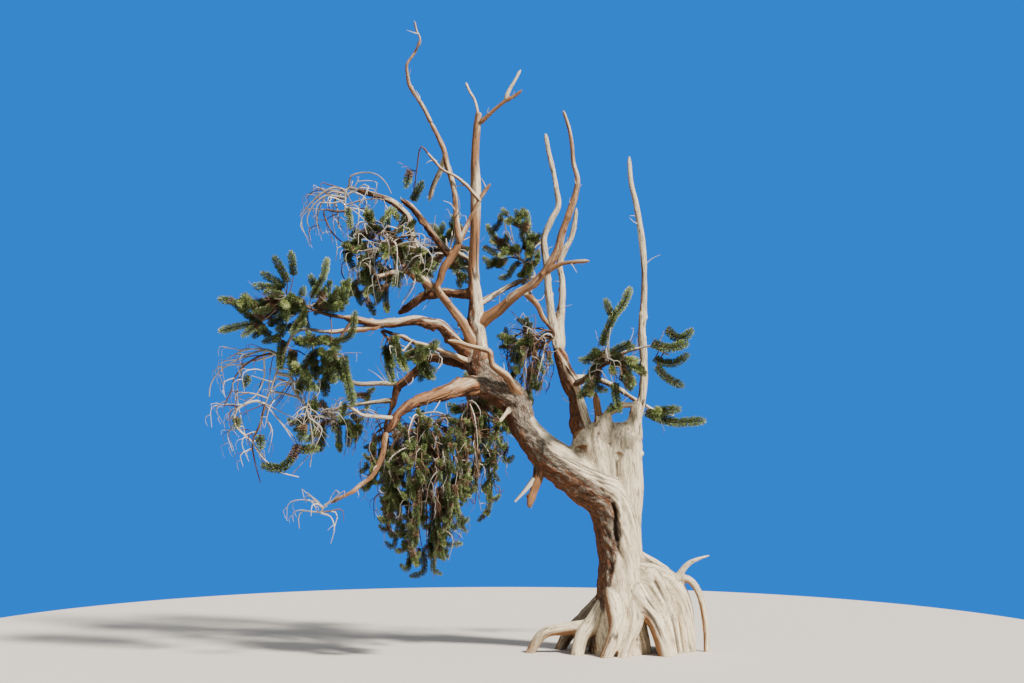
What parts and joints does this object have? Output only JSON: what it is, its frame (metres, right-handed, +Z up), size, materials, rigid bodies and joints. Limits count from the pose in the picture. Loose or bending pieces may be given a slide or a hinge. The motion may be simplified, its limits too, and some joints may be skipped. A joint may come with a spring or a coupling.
{
  "type": "pine tree",
  "caption": "Old timberline pine with a leaning bleached trunk, bare snags, crooked boughs, hanging brushes of needles and curtains of dead twigs",
  "frame": {"origin": "middle of the trunk's flat cut at ground level, at the mount ground", "axes": "+Z up, +X to the right and +Y to the back of the tree as the picture shows it; the trunk's arm leans towards -X"},
  "size_m": [3.4435, 1.7124, 4.4135],
  "materials": {
    "bleached_wood": "weathered, satin",
    "tan_wood": "bare, matte",
    "bark": "rough, scaly",
    "dead_twigs": "dry, matte",
    "needles": "matte"
  },
  "bodies": {
    "root": {"trunk": "bleached_wood", "right_snag": "bleached_wood", "horn_stub": "bleached_wood", "hooked_stub": "bleached_wood", "middle_stem": "bark", "pale_snag": "bleached_wood", "split_snag": "bleached_wood", "right_limb": "bleached_wood", "right_limb_stub": "bleached_wood", "cross_limb": "tan_wood", "left_leader": "tan_wood", "upper_leader": "bleached_wood", "leader_tip": "bleached_wood", "leader_fork": "bleached_wood", "cross_twig": "bleached_wood", "broken_limb": "bark", "inner_limb": "bleached_wood", "elbow_limb": "bleached_wood", "pale_side_limb": "bleached_wood", "top_left_prong": "bleached_wood", "top_right_prong": "bleached_wood", "top_tip": "bleached_wood", "left_bough": "bark", "left_bough_fork": "bleached_wood", "crooked_limb": "bark", "upper_left_bough": "bark", "bone_limb": "bleached_wood", "front_limb": "tan_wood", "lower_bough": "bark", "lower_bough_end": "bleached_wood", "lower_bough_fork": "bleached_wood", "mid_bough": "bark", "mid_bough_upper": "bleached_wood", "mid_bough_lower": "bleached_wood", "hanging_stub": "bark", "back_right_limb": "bark", "right_back_bough": "bark", "right_front_bough": "bark", "back_bough": "bark", "upper_back_bough": "bark", "left_foliage": "needles", "left_hanging_brushes": "needles", "left_dead_curtain": "dead_twigs", "upper_left_dead_curtain": "dead_twigs", "inner_foliage": "needles", "small_tuft": "needles", "centre_right": "needles", "centre_hanging": "needles", "right_mass": "needles", "right_upper_brushes": "needles", "right_lower_brushes": "needles", "left_mid": "needles", "left_mid_upper": "dead_twigs", "hanging_front": "needles", "hanging_back": "needles", "hanging_right": "needles", "lower_left_twigs": "dead_twigs", "trunk_clump": "needles", "back_mass": "needles", "upper_back_mass": "needles"}
  },
  "joints": []
}
